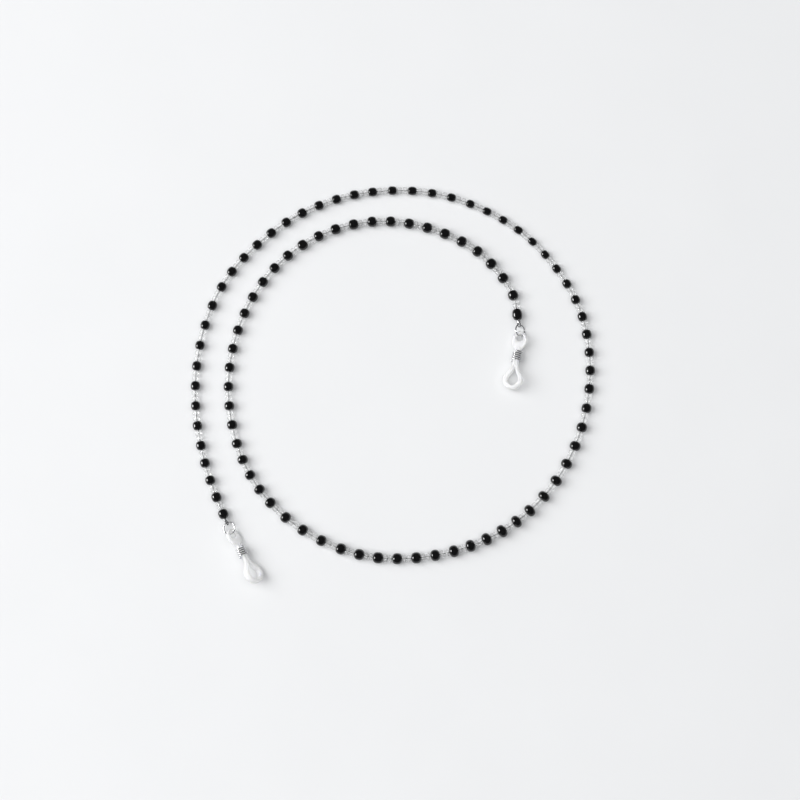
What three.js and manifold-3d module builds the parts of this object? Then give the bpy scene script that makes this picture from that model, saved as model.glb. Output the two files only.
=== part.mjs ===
// Beaded eyeglass chain, lying in a loose spiral on a flat surface.
// Millimetres, +Z up. The origin is the middle of the footprint, on the surface.
import * as THREE from 'three';
import { mergeVertices } from 'three/addons/utils/BufferGeometryUtils.js';
import Module from 'manifold-3d';

const wasm = await Module();
wasm.setup();

// Wire
const WIRE_RADIUS = 0.2;
const WIRE_STEPS = 80;
const WIRE_SIDES = 8;
const CLEARANCE = 0.3;

// The strand's route over the surface, from the outer end to the inner end.
const ROUTE = [
  [-66.5, -55], [-70.5, -45.5], [-75, -32.5], [-78.5, -15], [-79, 4.5],
  [-75.5, 24], [-67.5, 42], [-54.5, 57], [-39, 68.5], [-21, 76],
  [-1.5, 79], [18, 77.5], [36.5, 71], [53, 60.5], [66, 46],
  [75, 29], [78.5, 9.5], [77, -10], [71, -28.5], [60.5, -45],
  [46, -58], [28.5, -66.5], [9.5, -70.5], [-10, -70], [-29, -63.5],
  [-45, -52.5], [-57, -37.5], [-64, -19], [-66, 0.5], [-63, 19.5],
  [-55, 37.5], [-42.5, 52], [-25.5, 62], [-6.5, 66], [13, 63.5],
  [31, 55.5], [40.5, 47], [48, 35.5], [50, 25],
];

// The route is measured in this many pieces, and directions are taken over this reach to each side.
const ROUTE_DIVISIONS = 4000;
const DIRECTION_REACH = 0.5;
const END_DIRECTION_REACH = 1;
// The strand's centre line lies this much more than a bead's radius above the surface, because
// neighbouring beads differ in size.
const STRAND_LIFT = 0.04;

// Beads: 93 black ones with a pair of clear ones between each two. The two black beads nearest to
// each end, and the clear pair between them, are pieces of their own; the others are in runs.
const BLACK_BEADS = 93;
const LOOSE_BLACKS = 2;
const BLACKS_PER_RUN = 3;
const BEAD_SIDES = 8;
const BORE_RADIUS = 0.75;
const BLACK_FLAT_RATIO = 0.4;
const CLEAR_RADIUS = 1.45;
const CLEAR_WAIST = 0.25;
const CLEAR_END_RATIO = 0.9;

// Black bead diameters and lengths vary slowly along the strand: [bead number, size].
const BLACK_DIAMETERS = [
  [0, 4.0], [8, 3.7], [18, 3.9], [26, 3.4], [31, 3.0], [36, 3.8], [41, 4.0], [45, 4.8], [49, 5.2],
  [54, 4.5], [60, 4.4], [64, 4.2], [71, 3.9], [78, 4.2], [85, 4.3], [89, 4.4], [92, 4.0],
];
const BLACK_LENGTHS = [
  [0, 3.7], [20, 3.7], [27, 3.4], [40, 3.8], [48, 3.4], [56, 4.0], [64, 3.5], [75, 3.8],
  [91, 3.9], [92, 4.6],
];
// How far the beads have slid along the wire from even spacing: [bead number, distance].
const BEAD_DRIFT = [
  [0, 0], [4, -1.6], [8, 0.3], [12, 3.8], [22, 2.5], [27, 4.8], [40, 2.3], [47, 4.8],
  [52, 1.0], [58, 0.4], [62, 3.6], [66, 0.6], [72, 1.6], [80, -0.2], [90, -1.0], [92, 0],
];

// Crimp bead, flattened over the two legs of the wire eye
const CRIMP_LENGTH = 0.9;
const CRIMP_BORE_RADIUS = 0.55;
const CRIMP_WALL = 0.22;
const CRIMP_HEIGHT_RATIO = 1.6;
const CRIMP_SIDES = 12;

// Wire eye: it stands upright round the jump ring's wire
const EYE_CENTRE = 1.8;
const EYE_RADIUS = 0.875;
const EYE_LEG_OFFSET = 0.27;
const EYE_LEG_START = 0.35;
const EYE_STEPS = 14;

// Jump ring, split on one side
const RING_RADIUS = 2.4;
const RING_WIRE_RADIUS = 0.3;
const RING_SPLIT_DEG = 10;
const RING_STEPS = 20;
const RING_SIDES = 6;

// Silicone temple grip. Its own frame: origin at the eyelet's centre, +Y towards the loop's tip,
// +Z square to the loop.
const EYELET_RADIUS = 1.5;
const EYELET_OFFSET = 0.6;
const TAB_CENTRE = 1.3;
const TAB_HALF_WIDTH = 3.1;
const TAB_HALF_LENGTH = 3.9;
const TAB_THICKNESS = 1.4;
const TAB_SEGMENTS = 8;
const NECK_RADIUS = 1.15;
const NECK_START = 4.0;
const NECK_END = 12.2;
const NECK_SIDES = 12;
const LOOP_START = 11.8;
const LOOP_TIP = 21.6;
const LOOP_HALF_WIDTH = 4.2;
const LOOP_BAND = 2.0;
const LOOP_WIDEST = 17.2;
const LOOP_DEPTH = 2.6;
const LOOP_SEAT_HALF_WIDTH = 0.7;
const LOOP_START_RATIO = 0.8;
const LOOP_SEGMENTS = 6;
const OPENING_START_HALF_WIDTH = 0.2;
// How far the teardrop's curves run on past its widest part and along its tip, as shares of the size
const TEARDROP_SIDE_PULL = 0.55;
const TEARDROP_TIP_PULL = 0.4;
const MERGE_DISTANCE = 1e-5;

// Coil slider
const COIL_RADIUS = 1.8;
const COIL_WIRE_RADIUS = 0.275;
const COIL_START = 5.5;
const COIL_LENGTH = 4.6;
const COIL_TURNS = 4.75;
const COIL_FIRST_ANGLE = Math.PI / 2;
// The wire's end at the loop side stands proud: over this share of the coil it moves out this far.
const COIL_TAIL_SHARE = 0.04;
const COIL_TAIL_RISE = 0.4;
const COIL_STEPS = 50;
const COIL_SIDES = 5;

// How each end lies: the ring's tilt and slope, and the grip's bearing, roll and slope, in degrees.
const ENDS = {
  outer: { ringTilt: -20, ringSlope: 5.5, ringBend: 6, bearing: -61, roll: 41, slope: 3.8 },
  inner: { ringTilt: 41, ringSlope: -2.8, ringBend: -12, bearing: -100, roll: -22, slope: 2.2 },
};

const UP = new THREE.Vector3(0, 0, 1);
const rad = THREE.MathUtils.degToRad;

const blackGlass = { color: 0x08080a, roughness: 0.12, metalness: 0 };
const clearGlass = { color: 0xe6ebee, roughness: 0.05, metalness: 0, transparent: true, opacity: 0.4 };
const steel = { color: 0x8d9094, roughness: 0.25, metalness: 1 };
const darkWire = { color: 0x55585c, roughness: 0.35, metalness: 0.9 };
const silicone = { color: 0xf4f5f3, roughness: 0.35, metalness: 0, transparent: true, opacity: 0.75 };

const strap = new THREE.Group();

function addMesh(name, geometry, look) {
  const mesh = new THREE.Mesh(geometry, new THREE.MeshStandardMaterial(look));
  mesh.name = name;
  strap.add(mesh);
  return mesh;
}

// Linear interpolation in a list of [bead number, value] pairs.
function along(pairs, bead) {
  const next = pairs.findIndex(([number]) => number >= bead);
  if (next < 0) {
    return pairs[pairs.length - 1][1];
  }
  if (next === 0) {
    return pairs[0][1];
  }
  const [numberA, valueA] = pairs[next - 1];
  const [numberB, valueB] = pairs[next];
  return valueA + (valueB - valueA) * (bead - numberA) / (numberB - numberA);
}

const blackRadius = (bead) => along(BLACK_DIAMETERS, bead) / 2;
const blackLength = (bead) => along(BLACK_LENGTHS, bead);

// The strand's centre line, measured by length.
class StrandCurve extends THREE.Curve {
  constructor() {
    super();
    this.plan = new THREE.CatmullRomCurve3(ROUTE.map(([x, y]) => new THREE.Vector3(x, y, 0)));
    this.plan.arcLengthDivisions = ROUTE_DIVISIONS;
    this.length = this.plan.getLength();
    this.firstBead = blackLength(0) / 2 + CLEARANCE / 2;
    this.lastBead = this.length - blackLength(BLACK_BEADS - 1) / 2 - CLEARANCE / 2;
    this.pitch = (this.lastBead - this.firstBead) / (BLACK_BEADS - 1);
  }

  beadPlace(bead) {
    return this.firstBead + this.pitch * bead + along(BEAD_DRIFT, bead);
  }

  getPoint(t) {
    const point = this.plan.getPointAt(THREE.MathUtils.clamp(t, 0, 1));
    point.z = blackRadius((t * this.length - this.firstBead) / this.pitch) + STRAND_LIFT;
    return point;
  }

  at(distance) {
    return this.getPoint(distance / this.length);
  }

  // side, tangent and up directions at a distance along the strand
  frame(distance) {
    const tangent = this.at(Math.min(distance + DIRECTION_REACH, this.length));
    tangent.sub(this.at(Math.max(distance - DIRECTION_REACH, 0))).normalize();
    const side = new THREE.Vector3().crossVectors(tangent, UP).normalize();
    const up = new THREE.Vector3().crossVectors(side, tangent);
    return { side, tangent, up };
  }
}

// A path made of several curves, each with its own number of steps.
class SteppedPath extends THREE.Curve {
  constructor(pieces) {
    super();
    this.pieces = pieces;
    this.steps = pieces.reduce((sum, piece) => sum + piece.steps, 0);
  }

  getUtoTmapping(u) {
    return u;
  }

  getPoint(t) {
    let step = t * this.steps;
    for (const { curve, steps } of this.pieces) {
      if (step <= steps) {
        return curve.getPoint(Math.max(step, 0) / steps);
      }
      step -= steps;
    }
    return this.pieces[this.pieces.length - 1].curve.getPoint(1);
  }
}

class ArcCurve extends THREE.Curve {
  constructor(radius, startAngle, endAngle) {
    super();
    this.radius = radius;
    this.startAngle = startAngle;
    this.endAngle = endAngle;
  }

  getPoint(t) {
    const angle = THREE.MathUtils.lerp(this.startAngle, this.endAngle, t);
    return new THREE.Vector3(this.radius * Math.cos(angle), this.radius * Math.sin(angle), 0);
  }
}

class CoilCurve extends THREE.Curve {
  getPoint(t) {
    const angle = COIL_FIRST_ANGLE + t * COIL_TURNS * 2 * Math.PI;
    const rise = COIL_WIRE_RADIUS + t * (COIL_LENGTH - 2 * COIL_WIRE_RADIUS);
    const tail = Math.max(0, (t - 1 + COIL_TAIL_SHARE) / COIL_TAIL_SHARE);
    const radius = COIL_RADIUS + COIL_TAIL_RISE * tail;
    return new THREE.Vector3(radius * Math.cos(angle), rise, radius * Math.sin(angle));
  }
}

function roundSection(radius, sides) {
  const corners = [];
  for (let i = 0; i < sides; i += 1) {
    const angle = (i + 0.5) * 2 * Math.PI / sides;
    corners.push(new THREE.Vector2(radius * Math.cos(angle), radius * Math.sin(angle)));
  }
  return new THREE.Shape(corners);
}

function tube(path, radius, steps, sides) {
  const options = { steps, bevelEnabled: false, extrudePath: path };
  return new THREE.ExtrudeGeometry(roundSection(radius, sides), options);
}

// A ring of stated outline [[distance along the axis, radius], ...] round a bore, turned about +Y.
// The facets' flats, not their corners, lie at the stated radius.
function turned(outline, boreRadius, sides) {
  const spread = 1 / Math.cos(Math.PI / sides);
  const bore = [outline[outline.length - 1][0], outline[0][0]].map((y) => [y, boreRadius]);
  const loop = [...outline, ...bore, outline[0]];
  const points = loop.map(([y, radius]) => new THREE.Vector2(radius * spread, y));
  return new THREE.LatheGeometry(points, sides, Math.PI / sides);
}

// Turned beads whose outline is given by distance along the strand, bent to the strand's route.
function bendToStrand(geometry) {
  const position = geometry.getAttribute('position');
  const local = new THREE.Vector3();
  for (let i = 0; i < position.count; i += 1) {
    local.fromBufferAttribute(position, i);
    const { side, up } = strand.frame(local.y);
    const point = strand.at(local.y).addScaledVector(side, local.x).addScaledVector(up, local.z);
    position.setXYZ(i, point.x, point.y, point.z);
  }
  return geometry;
}

// One black bead's outline, centred at a distance along an axis.
function blackOutline(bead, centre) {
  const radius = blackRadius(bead);
  const half = blackLength(bead) / 2;
  const flat = half * BLACK_FLAT_RATIO;
  return [
    [centre - half, CLEAR_RADIUS],
    [centre - flat, radius],
    [centre + flat, radius],
    [centre + half, CLEAR_RADIUS],
  ];
}

// A run of black beads, each after its pair of clear ones: first and last are black bead numbers.
function beadRun(first, last, endsInClearPair) {
  const endOf = (bead) => strand.beadPlace(bead) + blackLength(bead) / 2;
  const startOf = (bead) => strand.beadPlace(bead) - blackLength(bead) / 2;
  const outline = [[endOf(first - 1) + CLEARANCE, CLEAR_RADIUS]];
  for (let bead = first; bead <= last; bead += 1) {
    outline.push([(endOf(bead - 1) + startOf(bead)) / 2, CLEAR_RADIUS - CLEAR_WAIST]);
    outline.push(...blackOutline(bead, strand.beadPlace(bead)));
  }
  if (endsInClearPair) {
    outline.push([(endOf(last) + startOf(last + 1)) / 2, CLEAR_RADIUS - CLEAR_WAIST]);
    outline.push([startOf(last + 1) - CLEARANCE, CLEAR_RADIUS]);
  }
  // the bore follows the route's bend, one station for each black bead
  const spread = 1 / Math.cos(Math.PI / BEAD_SIDES);
  const bore = [[outline[outline.length - 1][0], BORE_RADIUS]];
  for (let bead = last; bead >= first; bead -= 1) {
    bore.push([strand.beadPlace(bead), BORE_RADIUS]);
  }
  bore.push([outline[0][0], BORE_RADIUS]);
  const loop = [...outline, ...bore, outline[0]];
  const points = loop.map(([y, radius]) => new THREE.Vector2(radius * spread, y));
  return bendToStrand(new THREE.LatheGeometry(points, BEAD_SIDES, Math.PI / BEAD_SIDES));
}

// A bead of its own, placed on the strand as a straight piece that can spin.
function addLooseBead(name, outline, distance, look) {
  const mesh = addMesh(name, turned(outline, BORE_RADIUS, BEAD_SIDES), look);
  const { side, tangent, up } = strand.frame(distance);
  const turn = new THREE.Matrix4().makeBasis(side, tangent, up);
  mesh.position.copy(strand.at(distance));
  mesh.quaternion.setFromRotationMatrix(turn);
  return mesh;
}

function addEndBeads(where, endBead, nextBead) {
  for (const [bead, name] of [[endBead, 'black_bead_end'], [nextBead, 'black_bead_next']]) {
    addLooseBead(`${name}_${where}`, blackOutline(bead, 0), strand.beadPlace(bead), blackGlass);
  }
  const [low, high] = endBead < nextBead ? [endBead, nextBead] : [nextBead, endBead];
  const start = strand.beadPlace(low) + blackLength(low) / 2 + CLEARANCE;
  const end = strand.beadPlace(high) - blackLength(high) / 2 - CLEARANCE;
  const length = (end - start - CLEARANCE) / 2;
  const outline = [
    [-length / 2, CLEAR_RADIUS * CLEAR_END_RATIO],
    [-length / 4, CLEAR_RADIUS],
    [length / 4, CLEAR_RADIUS],
    [length / 2, CLEAR_RADIUS * CLEAR_END_RATIO],
  ];
  const places = [start + length / 2, end - length / 2];
  if (endBead > nextBead) {
    places.reverse();
  }
  addLooseBead(`clear_bead_a_${where}`, outline, places[0], clearGlass);
  addLooseBead(`clear_bead_b_${where}`, outline, places[1], clearGlass);
}

function addBeads() {
  const last = BLACK_BEADS - 1;
  const lastInRuns = last - LOOSE_BLACKS;
  addEndBeads('outer', 0, 1);
  const runs = Math.ceil((BLACK_BEADS - 2 * LOOSE_BLACKS) / BLACKS_PER_RUN);
  for (let run = 0; run < runs; run += 1) {
    const from = LOOSE_BLACKS + run * BLACKS_PER_RUN;
    const to = Math.min(from + BLACKS_PER_RUN - 1, lastInRuns);
    const name = `bead_run_${String(run + 1).padStart(2, '0')}`;
    addMesh(name, beadRun(from, to, to === lastInRuns), blackGlass);
  }
  addEndBeads('inner', last, last - 1);
}

// The eye at one end, as points out along the strand and up from its centre line.
function eyeCurve({ origin, outward, upright }) {
  const round = EYE_RADIUS * Math.SQRT1_2;
  const legs = [
    [0, 0],
    [EYE_LEG_START, EYE_LEG_OFFSET],
    [CRIMP_LENGTH + CLEARANCE / 2, EYE_LEG_OFFSET],
    [EYE_CENTRE - round, round],
    [EYE_CENTRE, EYE_RADIUS],
    [EYE_CENTRE + round, round],
    [EYE_CENTRE + EYE_RADIUS, 0],
    [EYE_CENTRE + round, -round],
    [EYE_CENTRE, -EYE_RADIUS],
    [EYE_CENTRE - round, -round],
    [CRIMP_LENGTH + CLEARANCE / 2, -EYE_LEG_OFFSET],
    [EYE_LEG_START, -EYE_LEG_OFFSET],
  ];
  const points = legs.map(([out, rise]) => {
    const point = origin.clone().addScaledVector(outward, out);
    return point.addScaledVector(upright, rise);
  });
  return new THREE.CatmullRomCurve3(points);
}

class ReversedCurve extends THREE.Curve {
  constructor(curve) {
    super();
    this.curve = curve;
  }

  getPoint(t) {
    return this.curve.getPoint(1 - t);
  }
}

function addWire(ends) {
  const outerEye = eyeCurve(ends.outer);
  const innerEye = eyeCurve(ends.inner);
  const path = new SteppedPath([
    { curve: new ReversedCurve(outerEye), steps: EYE_STEPS },
    { curve: strand, steps: WIRE_STEPS },
    { curve: innerEye, steps: EYE_STEPS },
  ]);
  addMesh('beading_wire', tube(path, WIRE_RADIUS, path.steps, WIRE_SIDES), darkWire);
}

function addCrimp(where, { origin, outward, upright }) {
  const half = CRIMP_LENGTH / 2;
  const outer = CRIMP_BORE_RADIUS + CRIMP_WALL;
  const outline = [[-half, outer], [half, outer]];
  const tubeWall = turned(outline, CRIMP_BORE_RADIUS, CRIMP_SIDES);
  const mesh = addMesh(`crimp_bead_${where}`, tubeWall, steel);
  const side = new THREE.Vector3().crossVectors(outward, upright);
  mesh.quaternion.setFromRotationMatrix(new THREE.Matrix4().makeBasis(side, outward, upright));
  mesh.scale.z = CRIMP_HEIGHT_RATIO;
  mesh.position.copy(origin).addScaledVector(outward, CLEARANCE / 2 + half);
}

// The jump ring hangs in the eye; returns where the grip's eyelet sits on it.
function addJumpRing(where, { origin, outward }, lie) {
  const eye = origin.clone().addScaledVector(outward, EYE_CENTRE);
  const left = new THREE.Vector3().crossVectors(UP, outward);
  const out = outward.clone().applyAxisAngle(left, -rad(lie.ringSlope));
  const across = left.clone().applyAxisAngle(out, rad(-lie.ringTilt));
  const normal = new THREE.Vector3().crossVectors(out, across);
  const half = rad(RING_SPLIT_DEG / 2);
  const splitSide = Math.PI / 2;
  const arc = new ArcCurve(RING_RADIUS, splitSide + half, splitSide + 2 * Math.PI - half);
  const round = tube(arc, RING_WIRE_RADIUS, RING_STEPS, RING_SIDES);
  const mesh = addMesh(`jump_ring_${where}`, round, steel);
  mesh.quaternion.setFromRotationMatrix(new THREE.Matrix4().makeBasis(out, across, normal));
  mesh.position.copy(eye).addScaledVector(out, RING_RADIUS);
  const bend = rad(lie.ringBend);
  const link = mesh.position.clone();
  link.addScaledVector(out, RING_RADIUS * Math.cos(bend));
  link.addScaledVector(across, RING_RADIUS * Math.sin(bend));
  return link;
}

function asSolid(geometry) {
  const bare = geometry.clone();
  bare.deleteAttribute('normal');
  bare.deleteAttribute('uv');
  const merged = mergeVertices(bare, MERGE_DISTANCE);
  const vertProperties = Float32Array.from(merged.getAttribute('position').array);
  const triVerts = Uint32Array.from(merged.getIndex().array);
  return new wasm.Manifold(new wasm.Mesh({ numProp: 3, vertProperties, triVerts }));
}

function asGeometry(solid) {
  const { vertProperties, triVerts } = solid.getMesh();
  const geometry = new THREE.BufferGeometry();
  geometry.setAttribute('position', new THREE.BufferAttribute(Float32Array.from(vertProperties), 3));
  geometry.setIndex(new THREE.BufferAttribute(Uint32Array.from(triVerts), 1));
  return geometry;
}

function plate(shape, thickness, curveSegments) {
  const options = { depth: thickness, bevelEnabled: false, curveSegments };
  const geometry = new THREE.ExtrudeGeometry(shape, options);
  geometry.translate(0, 0, -thickness / 2);
  return geometry;
}

// A teardrop: narrow at the start, widest at LOOP_WIDEST, with a short flat across its tip.
function teardrop(curve, start, startHalfWidth, halfWidth, tip) {
  const flat = LOOP_SEAT_HALF_WIDTH;
  const shoulder = (start + LOOP_WIDEST) / 2;
  const round = (tip - LOOP_WIDEST) * TEARDROP_SIDE_PULL;
  const tipReach = flat + halfWidth * TEARDROP_TIP_PULL;
  curve.moveTo(startHalfWidth, start);
  curve.bezierCurveTo(startHalfWidth, shoulder, halfWidth, shoulder, halfWidth, LOOP_WIDEST);
  curve.bezierCurveTo(halfWidth, LOOP_WIDEST + round, tipReach, tip, flat, tip);
  curve.lineTo(-flat, tip);
  curve.bezierCurveTo(-tipReach, tip, -halfWidth, LOOP_WIDEST + round, -halfWidth, LOOP_WIDEST);
  curve.bezierCurveTo(-halfWidth, shoulder, -startHalfWidth, shoulder, -startHalfWidth, start);
  curve.closePath();
  return curve;
}

function gripGeometry() {
  const tab = new THREE.Shape();
  tab.absellipse(0, TAB_CENTRE, TAB_HALF_WIDTH, TAB_HALF_LENGTH, 0, 2 * Math.PI);
  const eyelet = new THREE.Path();
  eyelet.absarc(0, 0, EYELET_RADIUS, 0, 2 * Math.PI);
  tab.holes.push(eyelet);
  const loopStartHalfWidth = NECK_RADIUS * LOOP_START_RATIO;
  const loop = teardrop(
    new THREE.Shape(),
    LOOP_START,
    loopStartHalfWidth,
    LOOP_HALF_WIDTH,
    LOOP_TIP,
  );
  const opening = teardrop(
    new THREE.Path(),
    LOOP_START + LOOP_BAND,
    OPENING_START_HALF_WIDTH,
    LOOP_HALF_WIDTH - LOOP_BAND,
    LOOP_TIP - LOOP_BAND,
  );
  loop.holes.push(opening);
  const neckLength = NECK_END - NECK_START;
  const neck = new THREE.CylinderGeometry(NECK_RADIUS, NECK_RADIUS, neckLength, NECK_SIDES);
  neck.translate(0, (NECK_START + NECK_END) / 2, 0);
  const solid = asSolid(plate(tab, TAB_THICKNESS, TAB_SEGMENTS))
    .add(asSolid(neck))
    .add(asSolid(plate(loop, LOOP_DEPTH, LOOP_SEGMENTS)));
  return asGeometry(solid);
}

// A temple grip with its coil slider; the eyelet hangs on the jump ring at the link point.
function addGrip(where, link, lie) {
  const bearing = rad(lie.bearing);
  const level = new THREE.Vector3(Math.cos(bearing), Math.sin(bearing), 0);
  const left = new THREE.Vector3().crossVectors(UP, level);
  const out = level.clone().applyAxisAngle(left, -rad(lie.slope));
  const across = left.clone().negate().applyAxisAngle(out, -rad(lie.roll));
  const normal = new THREE.Vector3().crossVectors(across, out);
  const turn = new THREE.Matrix4().makeBasis(across, out, normal);
  const grip = addMesh(`temple_grip_${where}`, gripGeometry(), silicone);
  const coil = tube(new CoilCurve(), COIL_WIRE_RADIUS, COIL_STEPS, COIL_SIDES);
  const slider = addMesh(`coil_slider_${where}`, coil, steel);
  grip.position.copy(link).addScaledVector(out, EYELET_OFFSET);
  slider.position.copy(grip.position).addScaledVector(out, COIL_START);
  for (const mesh of [grip, slider]) {
    mesh.quaternion.setFromRotationMatrix(turn);
  }
}

const strand = new StrandCurve();

// Where the strand ends, which way it points, and which way its wire eye stands.
function strandEnd(distance, inward, lie) {
  const origin = strand.at(distance);
  const outward = strand.at(distance).sub(strand.at(inward)).setZ(0).normalize();
  const upright = UP.clone().applyAxisAngle(outward, rad(-lie.ringTilt));
  return { origin, outward, upright };
}

const strandEnds = {
  outer: strandEnd(0, END_DIRECTION_REACH, ENDS.outer),
  inner: strandEnd(strand.length, strand.length - END_DIRECTION_REACH, ENDS.inner),
};

addWire(strandEnds);
addBeads();
for (const where of ['outer', 'inner']) {
  addCrimp(where, strandEnds[where]);
  const link = addJumpRing(where, strandEnds[where], ENDS[where]);
  addGrip(where, link, ENDS[where]);
}

export default strap;
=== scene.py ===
import bisect
import math
import random

import bpy
from mathutils import Matrix, Vector


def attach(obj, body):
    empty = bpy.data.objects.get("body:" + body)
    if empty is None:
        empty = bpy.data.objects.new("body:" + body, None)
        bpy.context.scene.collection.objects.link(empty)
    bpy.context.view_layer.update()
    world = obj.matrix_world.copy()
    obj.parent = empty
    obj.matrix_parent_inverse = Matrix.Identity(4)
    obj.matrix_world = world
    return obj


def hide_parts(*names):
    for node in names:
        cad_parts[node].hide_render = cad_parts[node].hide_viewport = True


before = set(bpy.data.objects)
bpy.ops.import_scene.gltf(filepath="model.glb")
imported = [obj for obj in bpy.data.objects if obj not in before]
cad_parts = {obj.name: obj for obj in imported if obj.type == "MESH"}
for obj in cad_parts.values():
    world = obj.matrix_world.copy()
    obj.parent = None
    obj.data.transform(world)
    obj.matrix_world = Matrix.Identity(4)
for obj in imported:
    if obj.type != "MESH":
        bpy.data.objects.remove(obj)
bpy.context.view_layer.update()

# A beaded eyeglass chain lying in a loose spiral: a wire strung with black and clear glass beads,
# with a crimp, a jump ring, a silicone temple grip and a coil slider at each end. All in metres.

UP = Vector((0, 0, 1))
random.seed(7)

# The strand's route over the floor, from the outer end to the inner end.
ROUTE = [
    (-0.0665, -0.0550), (-0.0705, -0.0455), (-0.0750, -0.0325), (-0.0785, -0.0150), (-0.0790, 0.0045),
    (-0.0755, 0.0240), (-0.0675, 0.0420), (-0.0545, 0.0570), (-0.0390, 0.0685), (-0.0210, 0.0760),
    (-0.0015, 0.0790), (0.0180, 0.0775), (0.0365, 0.0710), (0.0530, 0.0605), (0.0660, 0.0460),
    (0.0750, 0.0290), (0.0785, 0.0095), (0.0770, -0.0100), (0.0710, -0.0285), (0.0605, -0.0450),
    (0.0460, -0.0580), (0.0285, -0.0665), (0.0095, -0.0705), (-0.0100, -0.0700), (-0.0290, -0.0635),
    (-0.0450, -0.0525), (-0.0570, -0.0375), (-0.0640, -0.0190), (-0.0660, 0.0005), (-0.0630, 0.0195),
    (-0.0550, 0.0375), (-0.0425, 0.0520), (-0.0255, 0.0620), (-0.0065, 0.0660), (0.0130, 0.0635),
    (0.0310, 0.0555), (0.0405, 0.0470), (0.0480, 0.0355), (0.0500, 0.0250),
]
ROUTE_STEPS = 60
STRAND_LIFT = 0.00004
CLEARANCE = 0.0003
TANGENT_REACH = 0.0005
END_REACH = 0.001

# Wire
WIRE_DIAMETER = 0.0004
WIRE_STEP = 0.001
EYE_SPAN_STEPS = 8

# Beads: black ones vary slowly in size along the strand, as (bead number, size).
BLACK_BEADS = 93
LOOSE_BLACKS = 2
BLACKS_PER_RUN = 3
BLACK_HOLE = 0.00048
BLACK_FULLNESS = 2.25
BLACK_SIDES = 36
CLEAR_RADIUS = 0.00145
CLEAR_HOLE = 0.00042
CLEAR_FULLNESS = 2.9
CLEAR_SIDES = 28
CLEAR_HANG = 0.0001
BEAD_LIP = 0.00012
BEAD_PLAY = 0.00008
FLOOR_GAP = 0.00004
# How much the beads differ: least and most share of the size, and the tilt's spread in degrees.
BLACK_RADIUS_SHARES = (0.985, 1.008)
BLACK_LENGTH_SHARES = (0.94, 1.00)
BLACK_TILT = 2.0
CLEAR_RADIUS_SHARES = (0.96, 1.03)
CLEAR_LENGTH_SHARES = (0.93, 0.99)
CLEAR_TILT = 2.5
TILT_LIMIT = 1.5
BLACK_DIAMETERS = [
    (0, 0.0040), (8, 0.0037), (18, 0.0039), (26, 0.0034), (31, 0.0030), (36, 0.0038), (41, 0.0040),
    (45, 0.0048), (49, 0.0052), (54, 0.0045), (60, 0.0044), (64, 0.0042), (71, 0.0039), (78, 0.0042),
    (85, 0.0043), (89, 0.0044), (92, 0.0040),
]
BLACK_LENGTHS = [
    (0, 0.0037), (20, 0.0037), (27, 0.0034), (40, 0.0038), (48, 0.0034), (56, 0.0040), (64, 0.0035),
    (75, 0.0038), (91, 0.0039), (92, 0.0046),
]
# How far the beads have slid along the wire from even spacing, as (bead number, distance).
BEAD_DRIFT = [
    (0, 0), (4, -0.0016), (8, 0.0003), (12, 0.0038), (22, 0.0025), (27, 0.0048), (40, 0.0023),
    (47, 0.0048), (52, 0.0010), (58, 0.0004), (62, 0.0036), (66, 0.0006), (72, 0.0016), (80, -0.0002),
    (90, -0.0010), (92, 0),
]

# Fittings at each end
CRIMP_LENGTH = 0.0009
CRIMP_BORE_RADIUS = 0.00050
CRIMP_WALL = 0.00020
CRIMP_HEIGHT_RATIO = 1.6
CRIMP_EDGE = 0.00006
CRIMP_DENT = 0.0001
CRIMP_SIDES = 32
EYE_CENTRE = 0.0018
EYE_RADIUS = 0.000875
EYE_LEG_OFFSET = 0.00027
EYE_LEG_START = 0.00035
RING_RADIUS = 0.0024
RING_WIRE_RADIUS = 0.0003
RING_SPLIT = math.radians(10)
RING_STEPS = 96
RING_SIDES = 20
EYELET_RADIUS = 0.0015
EYELET_OFFSET = 0.0006
COIL_RADIUS = 0.0018
COIL_WIRE_RADIUS = 0.000275
COIL_START = 0.0055
COIL_LENGTH = 0.0046
COIL_TURNS = 4.75
COIL_FIRST_ANGLE = math.pi / 2
COIL_TAIL_SHARE = 0.04
COIL_TAIL_RISE = 0.0004
COIL_STEPS = 220
COIL_SIDES = 14

# How each end lies: the ring's tilt and slope, and the grip's bearing, roll and slope, in degrees.
ENDS = {
    "outer": {
        "ring_tilt": -20, "ring_slope": 5.5, "ring_bend": 6, "bearing": -61, "roll": 41, "slope": 3.8,
    },
    "inner": {
        "ring_tilt": 41, "ring_slope": -2.8, "ring_bend": -12, "bearing": -100, "roll": -22, "slope": 2.2,
    },
}

# Camera
CAMERA_TARGET = Vector((0.0025, -0.0071, 0))
CAMERA_DISTANCE = 0.8
CAMERA_ELEVATION = math.radians(80)
LENS_MM = 90
SENSOR_MM = 36

FLOOR_HALF_WIDTH = 2.0

# Lights, as (name, location, size, watts, whether it is only seen reflected)
LIGHTS = [
    ("key", (-1.7, 0.15, 1.7), 2.1, 73, False),
    ("glint", (-2.9, -0.12, 0.85), 1.3, 110, True),
    ("fill", (0.3, -0.2, 2.2), 2.4, 32, False),
]
SURROUND_COLOUR = (0.98, 0.99, 1.0, 1)
SURROUND_STRENGTH = 0.12


def along(pairs, bead):
    """Linear interpolation in a list of (bead number, value) pairs."""
    if bead <= pairs[0][0]:
        return pairs[0][1]
    for (bead_a, value_a), (bead_b, value_b) in zip(pairs, pairs[1:]):
        if bead <= bead_b:
            return value_a + (value_b - value_a) * (bead - bead_a) / (bead_b - bead_a)
    return pairs[-1][1]


def black_radius(bead):
    """A black bead's nominal radius; beads between two listed ones are in between."""
    return along(BLACK_DIAMETERS, bead) / 2


def black_length(bead):
    return along(BLACK_LENGTHS, bead)


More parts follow.
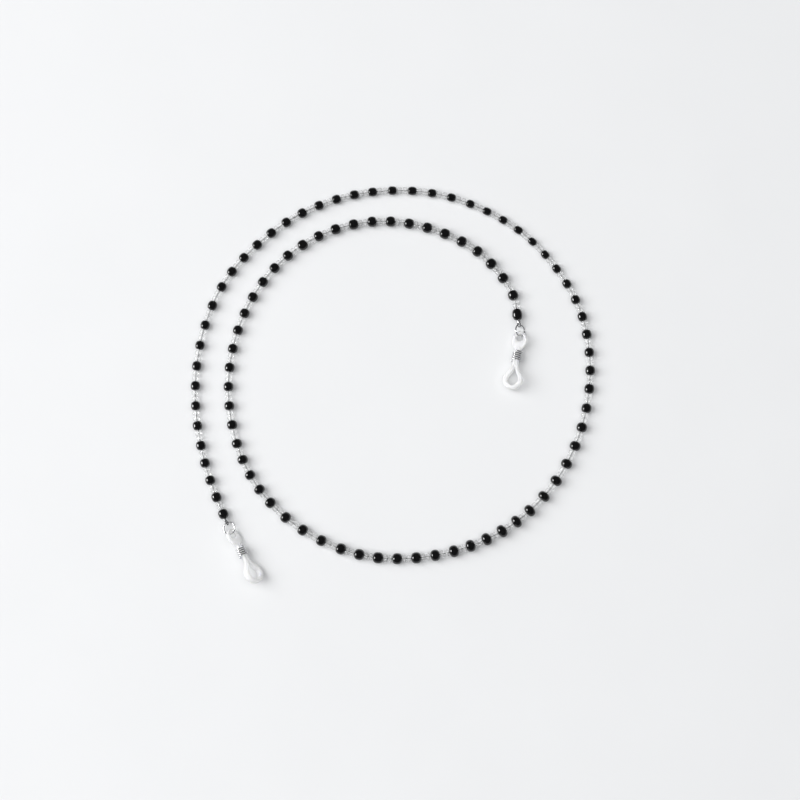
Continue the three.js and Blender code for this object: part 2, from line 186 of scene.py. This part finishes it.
def catmull_rom(points, steps):
    """Points along a centripetal Catmull-Rom curve through the given ones, with steps to each span."""
    ends = [2 * points[0] - points[1], *points, 2 * points[-1] - points[-2]]
    curve = []
    for p0, p1, p2, p3 in zip(ends, ends[1:], ends[2:], ends[3:]):
        a, b, c = (math.sqrt((q - p).length) for p, q in ((p0, p1), (p1, p2), (p2, p3)))
        start = ((p1 - p0) / a - (p2 - p0) / (a + b) + (p2 - p1) / b) * b
        end = ((p2 - p1) / b - (p3 - p1) / (b + c) + (p3 - p2) / c) * b
        for i in range(steps):
            t = i / steps
            square = (3 * (p2 - p1) - 2 * start - end) * t**2
            cube = (2 * (p1 - p2) + start + end) * t**3
            curve.append(p1 + start * t + square + cube)
    curve.append(points[-1].copy())
    return curve


class Strand:
    """The strand's centre line, measured by length from the outer end."""

    def __init__(self):
        self.points = catmull_rom([Vector((x, y, 0)) for x, y in ROUTE], ROUTE_STEPS)
        self.lengths = [0.0]
        for a, b in zip(self.points, self.points[1:]):
            self.lengths.append(self.lengths[-1] + (b - a).length)
        self.length = self.lengths[-1]
        self.first_bead = black_length(0) / 2 + CLEARANCE / 2
        last_bead = self.length - black_length(BLACK_BEADS - 1) / 2 - CLEARANCE / 2
        self.pitch = (last_bead - self.first_bead) / (BLACK_BEADS - 1)

    def bead_place(self, bead):
        return self.first_bead + self.pitch * bead + along(BEAD_DRIFT, bead)

    def at(self, distance):
        distance = min(max(distance, 0), self.length)
        i = min(bisect.bisect_right(self.lengths, distance), len(self.lengths) - 1) - 1
        share = (distance - self.lengths[i]) / (self.lengths[i + 1] - self.lengths[i])
        point = self.points[i].lerp(self.points[i + 1], share)
        point.z = black_radius((distance - self.first_bead) / self.pitch) + STRAND_LIFT
        return point

    def frame(self, distance):
        """Side, tangent and up directions at a distance, as a rotation."""
        tangent = (self.at(distance + TANGENT_REACH) - self.at(distance - TANGENT_REACH)).normalized()
        side = tangent.cross(UP).normalized()
        return directions(side, tangent, side.cross(tangent))

    def end(self, where):
        """Where the strand ends, which way it points, and which way its wire eye stands."""
        distance, inward = (0, END_REACH) if where == "outer" else (self.length, self.length - END_REACH)
        origin = self.at(distance)
        outward = origin - self.at(inward)
        outward.z = 0
        outward.normalize()
        tilt = Matrix.Rotation(math.radians(-ENDS[where]["ring_tilt"]), 3, outward)
        return origin, outward, tilt @ UP


def directions(x, y, z):
    """The rotation that takes the axes to three directions."""
    return Matrix((x, y, z)).transposed()


def rotated(vector, axis, degrees):
    return Matrix.Rotation(math.radians(degrees), 3, axis) @ vector


STRAND = Strand()


def ring_frame(where):
    """The jump ring's centre and its rotation: out along the strand, across, and its normal."""
    origin, outward, _ = STRAND.end(where)
    lie = ENDS[where]
    left = UP.cross(outward)
    out = rotated(outward, left, -lie["ring_slope"])
    across = rotated(left, out, -lie["ring_tilt"])
    centre = origin + outward * EYE_CENTRE + out * RING_RADIUS
    return centre, directions(out, across, out.cross(across))


def grip_frame(where):
    """The temple grip's eyelet centre and its rotation: across, out to the loop's tip, and its normal."""
    centre, turn = ring_frame(where)
    lie = ENDS[where]
    bend = math.radians(lie["ring_bend"])
    link = centre + turn @ Vector((math.cos(bend), math.sin(bend), 0)) * RING_RADIUS
    bearing = math.radians(lie["bearing"])
    level = Vector((math.cos(bearing), math.sin(bearing), 0))
    left = UP.cross(level)
    out = rotated(level, left, -lie["slope"])
    across = rotated(-left, out, -lie["roll"])
    return link + out * EYELET_OFFSET, directions(across, out, across.cross(out))


# ---------------------------------------------------------------- meshes


def mesh_data(rings, closed):
    """Vertices and faces of rings of points joined into a skin, closed on itself or capped at its ends."""
    count = len(rings[0])
    vertices = [point for ring in rings for point in ring]
    faces = []
    for i in range(len(rings) if closed else len(rings) - 1):
        a, b = i * count, (i + 1) % len(rings) * count
        for j in range(count):
            k = (j + 1) % count
            faces.append((a + j, a + k, b + k, b + j))
    if not closed:
        faces.append(tuple(reversed(range(count))))
        faces.append(tuple(range(len(vertices) - count, len(vertices))))
    return vertices, faces


def add_piece(name, parts, material, body, nodes):
    """One object of several skins, riding on a body and standing for CAD nodes."""
    vertices, faces = [], []
    for part_vertices, part_faces in parts:
        start = len(vertices)
        vertices += part_vertices
        faces += [tuple(start + i for i in face) for face in part_faces]
    mesh = bpy.data.meshes.new(name)
    mesh.from_pydata(vertices, [], faces)
    mesh.shade_smooth()
    mesh.materials.append(material)
    piece = bpy.data.objects.new(name, mesh)
    bpy.context.scene.collection.objects.link(piece)
    finish_piece(piece, body, nodes)
    return piece


def finish_piece(piece, body, nodes):
    """Which body a piece moves with, and the CAD nodes it stands for."""
    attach(piece, body)
    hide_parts(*nodes)


def circle(radius, sides):
    angles = [2 * math.pi * i / sides for i in range(sides)]
    return [(radius * math.cos(a), radius * math.sin(a)) for a in angles]


def tube_rings(path, radius, sides):
    """Round sections along a path, turned as little as possible from one to the next."""
    rings = []
    side = None
    for i, point in enumerate(path):
        tangent = (path[min(i + 1, len(path) - 1)] - path[max(i - 1, 0)]).normalized()
        if side is None:
            side = tangent.orthogonal().normalized()
        side = (side - tangent * side.dot(tangent)).normalized()
        other = tangent.cross(side)
        rings.append([point + side * x + other * y for x, y in circle(radius, sides)])
    return rings


def power(value, exponent):
    return math.copysign(abs(value) ** exponent, value)


# ---------------------------------------------------------------- beads


def bead_profile(radius, length, hole, fullness):
    """A bead's closed outline as (distance along its axis, radius); fullness 2 is round, more is squarer."""
    outer_steps, lip_steps, bore_steps = 16, 3, 3
    half = length / 2
    rim = hole + BEAD_LIP
    profile = []
    for i in range(outer_steps + 1):
        angle = math.pi * (i / outer_steps - 0.5)
        along_axis = half * power(math.sin(angle), 2 / fullness)
        profile.append((along_axis, rim + (radius - rim) * abs(math.cos(angle)) ** (2 / fullness)))
    for i in range(1, lip_steps + 1):
        angle = math.pi / 2 * i / lip_steps
        profile.append((half - BEAD_LIP * (1 - math.cos(angle)), rim - BEAD_LIP * math.sin(angle)))
    for i in range(1, bore_steps):
        profile.append(((half - BEAD_LIP) * (1 - 2 * i / bore_steps), hole))
    for i in range(lip_steps, 0, -1):
        angle = math.pi / 2 * i / lip_steps
        profile.append((BEAD_LIP * (1 - math.cos(angle)) - half, rim - BEAD_LIP * math.sin(angle)))
    return profile


def bead_skin(centre, turn, profile, sides):
    """A bead turned about its bore, which lies along the rotation's second direction."""
    spin = random.uniform(0, 2 * math.pi / sides)
    angles = [spin + 2 * math.pi * i / sides for i in range(sides)]
    rings = [
        [centre + turn @ Vector((r * math.cos(a), y, -r * math.sin(a))) for a in angles] for y, r in profile
    ]
    return mesh_data(rings, closed=True)


def wobble(spread):
    """A small random tilt with a spread in degrees, cut off at its limit, as a rotation."""
    most = TILT_LIMIT * spread
    tilt = max(-most, min(most, random.gauss(0, spread)))
    return Matrix.Rotation(math.radians(tilt), 3, "Z")


def black_bead(bead, loose=False):
    """One black bead; a loose one sits exactly on its spin axis."""
    radius = black_radius(bead) * (1 if loose else random.uniform(*BLACK_RADIUS_SHARES))
    length = black_length(bead) * (1 if loose else random.uniform(*BLACK_LENGTH_SHARES))
    place = STRAND.bead_place(bead)
    turn = STRAND.frame(place)
    if not loose:
        turn = turn @ wobble(BLACK_TILT)
    profile = bead_profile(radius, length, BLACK_HOLE, BLACK_FULLNESS)
    return bead_skin(STRAND.at(place), turn, profile, BLACK_SIDES)


def clear_gap(bead):
    """Where the pair of clear beads before a black bead may lie: its start and end on the strand."""
    start = STRAND.bead_place(bead - 1) + black_length(bead - 1) / 2
    end = STRAND.bead_place(bead) - black_length(bead) / 2
    return start, end


def clear_places(bead, play=BEAD_PLAY):
    """Centres and length of the two clear beads before a black bead."""
    start, end = clear_gap(bead)
    length = (end - start - 3 * play) / 2
    return [start + play + length / 2, end - play - length / 2], length


def clear_bead(place, length, loose=False):
    """One clear bead; on the wire it hangs a little, unless it would touch the floor."""
    radius = CLEAR_RADIUS * (1 if loose else random.uniform(*CLEAR_RADIUS_SHARES))
    turn = STRAND.frame(place)
    centre = STRAND.at(place)
    if not loose:
        centre.z = max(centre.z - CLEAR_HANG, radius + FLOOR_GAP)
        turn = turn @ wobble(CLEAR_TILT)
        length *= random.uniform(*CLEAR_LENGTH_SHARES)
    return bead_skin(centre, turn, bead_profile(radius, length, CLEAR_HOLE, CLEAR_FULLNESS), CLEAR_SIDES)


def add_bead_runs(black_glass, clear_glass):
    """The joined beads, all but the loose ones at each end; the last run has one pair of clear beads more."""
    after = BLACK_BEADS - LOOSE_BLACKS
    runs = math.ceil((after - LOOSE_BLACKS) / BLACKS_PER_RUN)
    for run in range(runs):
        first = LOOSE_BLACKS + run * BLACKS_PER_RUN
        blacks = range(first, min(first + BLACKS_PER_RUN, after))
        node = f"bead_run_{run + 1:02d}"
        black_parts = [black_bead(bead) for bead in blacks]
        pairs = list(blacks) + ([after] if blacks[-1] == after - 1 else [])
        clear_parts = []
        for bead in pairs:
            places, length = clear_places(bead)
            clear_parts += [clear_bead(place, length) for place in places]
        add_piece(f"black_beads_{run + 1:02d}", black_parts, black_glass, "strand", [node])
        add_piece(f"clear_beads_{run + 1:02d}", clear_parts, clear_glass, "strand", [node])


def add_end_beads(where, end_bead, next_bead, black_glass, clear_glass):
    """The beads nearest each end, which spin on bodies of their own."""
    for bead, kind in ((end_bead, "black_bead_end"), (next_bead, "black_bead_next")):
        node = f"{kind}_{where}"
        add_piece(f"{node}_glass", [black_bead(bead, loose=True)], black_glass, node, [node])
    places, length = clear_places(max(end_bead, next_bead), CLEARANCE)
    if end_bead > next_bead:
        places.reverse()
    for place, letter in zip(places, "ab"):
        node = f"clear_bead_{letter}_{where}"
        parts = [clear_bead(place, length, loose=True)]
        add_piece(f"{node}_glass", parts, clear_glass, node, [node])


# ---------------------------------------------------------------- wire


def eye_points(where):
    """The wire eye at one end, from the strand round the jump ring and back."""
    origin, outward, upright = STRAND.end(where)
    corner = EYE_RADIUS * math.sqrt(0.5)
    neck = CRIMP_LENGTH + CLEARANCE / 2
    shape = [
        (0, 0),
        (EYE_LEG_START, EYE_LEG_OFFSET),
        (neck, EYE_LEG_OFFSET),
        (EYE_CENTRE - corner, corner),
        (EYE_CENTRE, EYE_RADIUS),
        (EYE_CENTRE + corner, corner),
        (EYE_CENTRE + EYE_RADIUS, 0),
        (EYE_CENTRE + corner, -corner),
        (EYE_CENTRE, -EYE_RADIUS),
        (EYE_CENTRE - corner, -corner),
        (neck, -EYE_LEG_OFFSET),
        (EYE_LEG_START, -EYE_LEG_OFFSET),
    ]
    return catmull_rom([origin + outward * out + upright * rise for out, rise in shape], EYE_SPAN_STEPS)


def add_wire(material):
    """The beading wire, with a closed eye at each end, as one curve."""
    steps = round(STRAND.length / WIRE_STEP)
    middle = [STRAND.at(STRAND.length * i / steps) for i in range(1, steps)]
    path = [*reversed(eye_points("outer")), *middle, *eye_points("inner")]
    curve = bpy.data.curves.new("beading_wire_strung", "CURVE")
    curve.dimensions = "3D"
    curve.bevel_depth = WIRE_DIAMETER / 2
    curve.bevel_resolution = 3
    curve.use_fill_caps = True
    spline = curve.splines.new("POLY")
    spline.points.add(len(path) - 1)
    for spot, point in zip(spline.points, path):
        spot.co = (*point, 1)
    spline.use_smooth = True
    curve.materials.append(material)
    wire = bpy.data.objects.new("beading_wire_strung", curve)
    bpy.context.scene.collection.objects.link(wire)
    finish_piece(wire, "strand", ["beading_wire"])


# ---------------------------------------------------------------- end fittings


def add_crimp(where, steel):
    """A crimp tube squeezed over the wire eye's legs, with a dent from the pliers round its middle."""
    origin, outward, upright = STRAND.end(where)
    centre = origin + outward * (CLEARANCE / 2 + CRIMP_LENGTH / 2)
    side = outward.cross(upright)
    half = CRIMP_LENGTH / 2
    inner = CRIMP_BORE_RADIUS
    outer = CRIMP_BORE_RADIUS + CRIMP_WALL
    profile = [(-half, outer - CRIMP_EDGE), (CRIMP_EDGE - half, outer), (-half * 0.4, outer)]
    profile += [(-half * 0.15, outer - CRIMP_DENT), (half * 0.15, outer - CRIMP_DENT)]
    profile += [(half * 0.4, outer), (half - CRIMP_EDGE, outer), (half, outer - CRIMP_EDGE)]
    profile += [(half, inner + CRIMP_EDGE), (half - CRIMP_EDGE, inner)]
    profile += [(CRIMP_EDGE - half, inner), (-half, inner + CRIMP_EDGE)]
    rings = []
    for y, radius in profile:
        section = [(x, z * CRIMP_HEIGHT_RATIO) for x, z in circle(radius, CRIMP_SIDES)]
        rings.append([centre + outward * y + side * x - upright * z for x, z in section])
    node = f"crimp_bead_{where}"
    piece = add_piece(f"{node}_squeezed", [mesh_data(rings, closed=True)], steel, "strand", [node])
    smooth = piece.modifiers.new("rounded", "SUBSURF")
    smooth.levels = smooth.render_levels = 1


def add_jump_ring(where, steel):
    """A round wire ring with a narrow cut where it opens."""
    centre, turn = ring_frame(where)
    start = math.pi / 2 + RING_SPLIT / 2
    sweep = 2 * math.pi - RING_SPLIT
    path = []
    for i in range(RING_STEPS + 1):
        angle = start + sweep * i / RING_STEPS
        path.append(centre + turn @ Vector((math.cos(angle), math.sin(angle), 0)) * RING_RADIUS)
    node = f"jump_ring_{where}"
    skin = mesh_data(tube_rings(path, RING_WIRE_RADIUS, RING_SIDES), closed=False)
    add_piece(f"{node}_round", [skin], steel, f"ring_{where}", [node])


def add_coil(where, steel):
    """The coil slider: round wire wound on the grip's neck, with its last end standing off."""
    eyelet, turn = grip_frame(where)
    path = []
    for i in range(COIL_STEPS + 1):
        share = i / COIL_STEPS
        angle = COIL_FIRST_ANGLE + share * COIL_TURNS * 2 * math.pi
        rise = COIL_START + COIL_WIRE_RADIUS + share * (COIL_LENGTH - 2 * COIL_WIRE_RADIUS)
        radius = COIL_RADIUS + COIL_TAIL_RISE * max(0, (share - 1 + COIL_TAIL_SHARE) / COIL_TAIL_SHARE)
        place = Vector((radius * math.cos(angle), rise, radius * math.sin(angle)))
        path.append(eyelet + turn @ place)
    node = f"coil_slider_{where}"
    skin = mesh_data(tube_rings(path, COIL_WIRE_RADIUS, COIL_SIDES), closed=False)
    add_piece(f"{node}_wound", [skin], steel, f"slider_{where}", [node])


# The rubber band of a temple grip, from its tab through the coil and round the loop to the tip:
# (across, out, width, depth) of its section, for one side; the other side mirrors it.
BAND = [
    (0.00060, 0.0036, 0.00118, 0.0013), (0.00060, 0.0056, 0.00118, 0.0019),
    (0.00060, 0.0080, 0.00118, 0.0022), (0.00060, 0.0103, 0.00118, 0.0022),
    (0.00066, 0.0117, 0.00122, 0.0022), (0.00105, 0.0131, 0.00135, 0.0023),
    (0.00190, 0.0147, 0.00165, 0.0025), (0.00275, 0.0160, 0.00190, 0.00254),
    (0.00318, 0.0173, 0.00200, 0.00254), (0.00302, 0.0186, 0.00200, 0.00254),
    (0.00225, 0.0198, 0.00200, 0.0026), (0.00110, 0.0205, 0.00200, 0.0026),
    (0.00000, 0.0207, 0.00190, 0.0026),
]
TAB_CENTRE = 0.0013
TAB_HALF_WIDTH = 0.0031
TAB_HALF_LENGTH = 0.0039
TAB_THICKNESS = 0.0014
BAND_SPAN_STEPS = 6
BAND_SIDES = 24
TAB_STEPS = 64
TAB_SIDES = 20
# Below 1, these turn a round section into one with flatter sides.
BAND_ROUNDNESS = 0.75
TAB_ROUNDNESS = 0.6
GRIP_VOXEL = 0.00014


def band_skin():
    """The band as one strand, out along one side of the loop and back along the other."""
    back = [(-x, y, width, depth) for x, y, width, depth in reversed(BAND[:-1])]
    shape = BAND + back
    path = catmull_rom([Vector((x, y, 0)) for x, y, _, _ in shape], BAND_SPAN_STEPS)
    rings = []
    for i, point in enumerate(path):
        place = i / BAND_SPAN_STEPS
        low = min(int(place), len(shape) - 2)
        share = place - low
        width, depth = (shape[low][k] * (1 - share) + shape[low + 1][k] * share for k in (2, 3))
        tangent = (path[min(i + 1, len(path) - 1)] - path[max(i - 1, 0)]).normalized()
        side = tangent.cross(UP)
        ring = []
        for x, z in circle(1, BAND_SIDES):
            across = side * power(x, BAND_ROUNDNESS) * width / 2
            ring.append(point + across + UP * power(z, BAND_ROUNDNESS) * depth / 2)
        rings.append(ring)
    return mesh_data(rings, closed=False)


def tab_skin():
    """The eyelet tab: an oval plate with soft edges round a hole."""
    rings = []
    for i in range(TAB_STEPS):
        angle = 2 * math.pi * i / TAB_STEPS
        inner = Vector((math.cos(angle), math.sin(angle), 0)) * EYELET_RADIUS
        outer = Vector((TAB_HALF_WIDTH * math.cos(angle), TAB_CENTRE + TAB_HALF_LENGTH * math.sin(angle), 0))
        middle = (inner + outer) / 2
        reach = (outer - inner) / 2
        ring = []
        for x, z in circle(1, TAB_SIDES):
            rise = UP * power(z, TAB_ROUNDNESS) * TAB_THICKNESS / 2
            ring.append(middle + reach * power(x, TAB_ROUNDNESS) + rise)
        rings.append(ring)
    return mesh_data(rings, closed=True)


def add_grip(where, silicone):
    """The silicone moulding: tab and band melted into one skin and smoothed."""
    eyelet, turn = grip_frame(where)
    parts = []
    for vertices, faces in (tab_skin(), band_skin()):
        parts.append(([eyelet + turn @ point for point in vertices], faces))
    node = f"temple_grip_{where}"
    piece = add_piece(f"{node}_moulded", parts, silicone, f"grip_{where}", [node])
    melt = piece.modifiers.new("melt", "REMESH")
    melt.mode = "VOXEL"
    melt.voxel_size = GRIP_VOXEL
    melt.use_smooth_shade = True
    relax = piece.modifiers.new("relax", "SMOOTH")
    relax.factor = 0.5
    relax.iterations = 10


# ---------------------------------------------------------------- materials


class Paint:
    """A node material built round one Principled shader."""

    def __init__(self, name):
        self.material = bpy.data.materials.new(name)
        self.material.use_nodes = True
        self.nodes = self.material.node_tree.nodes
        self.links = self.material.node_tree.links
        self.shader = self.nodes["Principled BSDF"]
        self.place = self.nodes.new("ShaderNodeTexCoord").outputs["Object"]

    def set(self, **values):
        for name, value in values.items():
            self.shader.inputs[name.replace("_", " ")].default_value = value

    def noise(self, size, detail=3, roughness=0.5):
        """Noise whose features are about size metres across."""
        node = self.nodes.new("ShaderNodeTexNoise")
        node.inputs["Scale"].default_value = 1 / size
        node.inputs["Detail"].default_value = detail
        node.inputs["Roughness"].default_value = roughness
        self.links.new(self.place, node.inputs["Vector"])
        return node.outputs["Fac"]

    def colours(self, factor, low, high, start=0.3, end=0.7):
        ramp = self.nodes.new("ShaderNodeValToRGB")
        ramp.color_ramp.elements[0].position = start
        ramp.color_ramp.elements[0].color = (*low, 1)
        ramp.color_ramp.elements[1].position = end
        ramp.color_ramp.elements[1].color = (*high, 1)
        self.links.new(factor, ramp.inputs["Fac"])
        self.links.new(ramp.outputs["Color"], self.shader.inputs["Base Color"])

    def roughness(self, factor, low, high):
        spread = self.nodes.new("ShaderNodeMapRange")
        spread.inputs["From Min"].default_value = 0.3
        spread.inputs["From Max"].default_value = 0.7
        spread.inputs["To Min"].default_value = low
        spread.inputs["To Max"].default_value = high
        self.links.new(factor, spread.inputs["Value"])
        self.links.new(spread.outputs["Result"], self.shader.inputs["Roughness"])

    def bump(self, height, depth, strength):
        node = self.nodes.new("ShaderNodeBump")
        node.inputs["Distance"].default_value = depth
        node.inputs["Strength"].default_value = strength
        self.links.new(height, node.inputs["Height"])
        previous = self.shader.inputs["Normal"]
        if previous.is_linked:
            self.links.new(previous.links[0].from_socket, node.inputs["Normal"])
        self.links.new(node.outputs["Normal"], previous)


def black_glass_material():
    """Opaque black glass with a fire-polished gloss and a few dull spots."""
    paint = Paint("black_glass")
    paint.colours(paint.noise(0.0012), (0.0008, 0.0008, 0.0010), (0.0025, 0.0024, 0.0028))
    paint.roughness(paint.noise(0.0006), 0.03, 0.10)
    paint.set(IOR=1.52)
    paint.bump(paint.noise(0.0016, 1), 0.00004, 0.35)
    return paint.material


def clear_glass_material():
    """Clear drawn glass, a little uneven and faintly cool."""
    paint = Paint("clear_glass")
    paint.colours(paint.noise(0.0015), (0.965, 0.975, 0.98), (1.0, 1.0, 1.0))
    paint.roughness(paint.noise(0.0007), 0.08, 0.20)
    paint.set(IOR=1.5, Transmission_Weight=0.62, Alpha=0.36)
    paint.bump(paint.noise(0.0009, 2), 0.00003, 0.5)
    return paint.material


def steel_material():
    """Plated steel wire with drawing marks."""
    paint = Paint("plated_steel")
    paint.colours(paint.noise(0.0007), (0.56, 0.57, 0.58), (0.84, 0.84, 0.85))
    paint.roughness(paint.noise(0.0003), 0.12, 0.26)
    paint.set(Metallic=0.9)
    paint.bump(paint.noise(0.00015, 4), 0.00001, 0.4)
    return paint.material


def wire_material():
    """Thin twisted beading wire, dark grey."""
    paint = Paint("beading_wire")
    paint.colours(paint.noise(0.0005), (0.05, 0.052, 0.055), (0.16, 0.163, 0.167))
    paint.roughness(paint.noise(0.0003), 0.25, 0.45)
    paint.set(Metallic=0.8)
    paint.bump(paint.noise(0.0002, 2), 0.00002, 0.6)
    return paint.material


def silicone_material():
    """Milky translucent silicone with a soft sheen and faint cloudiness."""
    paint = Paint("milky_silicone")
    paint.colours(paint.noise(0.0025), (0.975, 0.975, 0.955), (1.0, 1.0, 0.985))
    paint.roughness(paint.noise(0.0008), 0.28, 0.42)
    paint.set(
        IOR=1.41, Transmission_Weight=0.05, Subsurface_Weight=1.0, Subsurface_Scale=0.006,
        Subsurface_Radius=(1.0, 1.0, 0.92), Alpha=0.80,
    )
    paint.bump(paint.noise(0.0012, 2), 0.00006, 0.4)
    paint.bump(paint.noise(0.0002, 3), 0.00001, 0.3)
    return paint.material


def floor_material():
    paint = Paint("pale_paper")
    paint.colours(paint.noise(0.05), (0.675, 0.681, 0.690), (0.685, 0.691, 0.700))
    paint.roughness(paint.noise(0.01), 0.75, 0.9)
    paint.set(Specular_IOR_Level=0.1)
    paint.bump(paint.noise(0.0006), 0.00002, 0.2)
    return paint.material


# ---------------------------------------------------------------- camera, floor and light


def add_camera():
    data = bpy.data.cameras.new("camera")
    data.lens = LENS_MM
    data.sensor_width = SENSOR_MM
    data.clip_start, data.clip_end = 0.05, 10
    camera = bpy.data.objects.new("camera", data)
    bpy.context.scene.collection.objects.link(camera)
    back = Vector((0, -math.cos(CAMERA_ELEVATION), math.sin(CAMERA_ELEVATION)))
    camera.location = CAMERA_TARGET + back * CAMERA_DISTANCE
    camera.rotation_euler = (-back).to_track_quat("-Z", "Y").to_euler()
    bpy.context.scene.camera = camera


def add_floor():
    half = FLOOR_HALF_WIDTH
    mesh = bpy.data.meshes.new("floor")
    corners = [(-half, -half, 0), (half, -half, 0), (half, half, 0), (-half, half, 0)]
    mesh.from_pydata(corners, [], [(0, 1, 2, 3)])
    mesh.materials.append(floor_material())
    floor = bpy.data.objects.new("floor", mesh)
    bpy.context.scene.collection.objects.link(floor)


def add_area_light(name, location, size, power_watts, reflected):
    """A square soft light aimed at the object: it is only seen reflected, or it only lights matt surfaces."""
    data = bpy.data.lights.new(name, "AREA")
    data.shape = "SQUARE"
    data.size = size
    data.energy = power_watts
    light = bpy.data.objects.new(name, data)
    bpy.context.scene.collection.objects.link(light)
    light.location = location
    light.rotation_euler = (-Vector(location)).to_track_quat("-Z", "Y").to_euler()
    light.visible_glossy = reflected
    light.visible_diffuse = not reflected


def add_light():
    """A broad light high on the left, a smaller one low on the left that glints in glass and steel,
    an even fill from above and a dim surround."""
    for light in LIGHTS:
        add_area_light(*light)
    world = bpy.data.worlds.new("surround")
    world.use_nodes = True
    background = world.node_tree.nodes["Background"]
    background.inputs["Color"].default_value = SURROUND_COLOUR
    background.inputs["Strength"].default_value = SURROUND_STRENGTH
    bpy.context.scene.world = world
    bpy.context.scene.view_settings.view_transform = "Standard"


add_camera()
add_wire(wire_material())

black = black_glass_material()
clear = clear_glass_material()
plated = steel_material()
milky = silicone_material()
add_bead_runs(black, clear)
add_end_beads("outer", 0, 1, black, clear)
add_end_beads("inner", BLACK_BEADS - 1, BLACK_BEADS - 2, black, clear)
for place_name in ENDS:
    add_crimp(place_name, plated)
    add_jump_ring(place_name, plated)
    add_coil(place_name, plated)
    add_grip(place_name, milky)

add_floor()
add_light()
